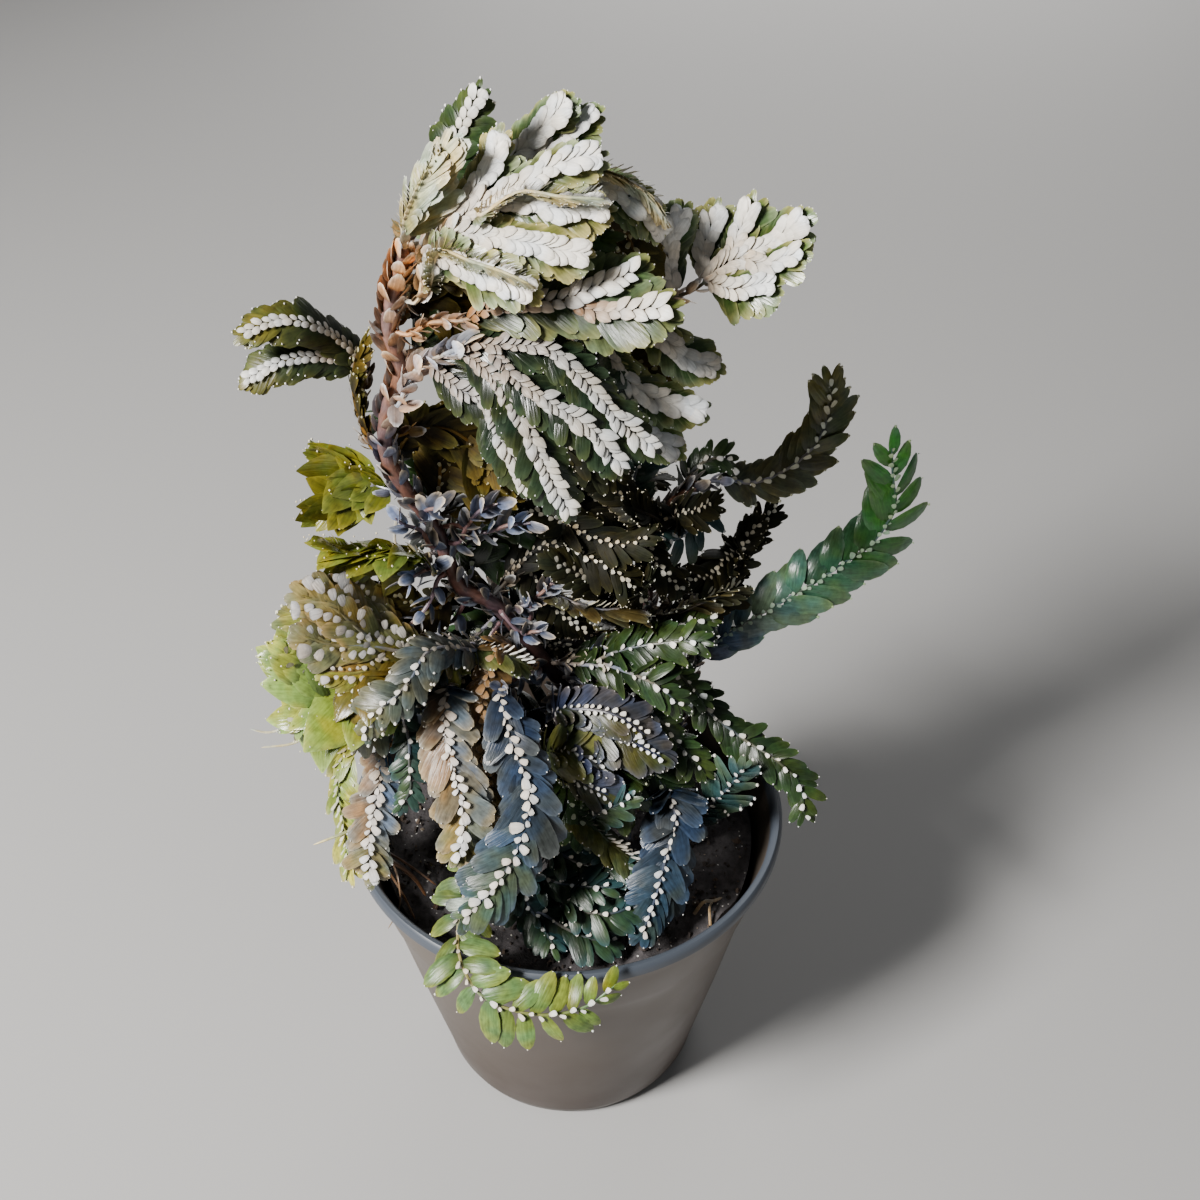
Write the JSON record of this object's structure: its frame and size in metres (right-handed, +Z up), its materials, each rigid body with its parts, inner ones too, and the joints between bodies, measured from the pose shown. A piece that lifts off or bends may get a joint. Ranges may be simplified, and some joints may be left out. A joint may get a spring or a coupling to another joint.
{
  "type": "potted spikemoss",
  "caption": "Leaning spikemoss with flat fans of tiny shingled leaves and white scale leaves, in a small tapered nursery pot filled with soil.",
  "frame": {"origin": "middle of the pot's flat underside", "axes": "+Z up along the pot's axis, +X to the right in the front view, +Y away from the viewer"},
  "size_m": [0.1272, 0.1041, 0.2193],
  "materials": {
    "pot_plastic": "thin warm grey nursery plastic",
    "soil": "moist near-black potting soil",
    "stem": "red-brown stem",
    "white_scales": "white scale leaves",
    "green_leaves": "mid green leaves",
    "cream_leaves": "cream leaves of the upper fans",
    "olive_leaves": "olive and amber undersides",
    "blue_leaves": "slate blue leaves with a sheen",
    "teal_leaves": "dark teal green leaves with a sheen",
    "lime_leaves": "yellow-green leaves",
    "dark_leaves": "dark olive green leaves in the shade",
    "grey_leaves": "taupe to grey-lilac leaves"
  },
  "bodies": {
    "root": {"pot": "pot_plastic", "soil": "soil", "main_stem": "stem", "back_stem": "stem", "frond_left": "green_leaves", "frond_left_scales": "white_scales", "frond_upright": "cream_leaves", "frond_top": "green_leaves", "frond_top_scales": "white_scales", "fan_behind": "green_leaves", "fan_behind_scales": "white_scales", "fan_upper": "cream_leaves", "fan_upper_scales": "white_scales", "fan_right": "green_leaves", "fan_right_scales": "white_scales", "fan_centre": "green_leaves", "fan_centre_scales": "white_scales", "fan_front": "green_leaves", "fan_front_scales": "white_scales", "frond_olive": "olive_leaves", "spray_left_top": "olive_leaves", "spray_left_mid": "olive_leaves", "fan_left": "olive_leaves", "spray_left_under": "lime_leaves", "spray_left_low": "grey_leaves", "spray_left_edge": "lime_leaves", "spray_front_a": "grey_leaves", "spray_front_a_scales": "white_scales", "spray_front_b": "grey_leaves", "spray_front_b_scales": "white_scales", "spray_front_c": "blue_leaves", "spray_front_c_scales": "white_scales", "spray_trailing": "lime_leaves", "spray_front_arch": "grey_leaves", "spray_front_d": "blue_leaves", "spray_front_d_scales": "white_scales", "spray_front_e": "teal_leaves", "spray_front_f": "lime_leaves", "spray_creeping_a": "teal_leaves", "spray_creeping_b": "teal_leaves", "spray_green": "teal_leaves", "spray_over_rim": "teal_leaves", "spray_green_low": "teal_leaves", "branch_right": "teal_leaves", "branch_right_dark": "dark_leaves", "spray_right_back": "dark_leaves", "spray_middle_a": "teal_leaves", "spray_middle_b": "dark_leaves", "spray_middle_c": "dark_leaves", "spray_middle_d": "dark_leaves", "spray_middle_e": "dark_leaves", "spray_middle_f": "cream_leaves", "spray_shade": "dark_leaves", "back_upper": "green_leaves", "back_left": "green_leaves", "back_low": "dark_leaves", "back_middle": "dark_leaves", "back_rim": "teal_leaves", "back_right": "teal_leaves"}
  },
  "joints": []
}
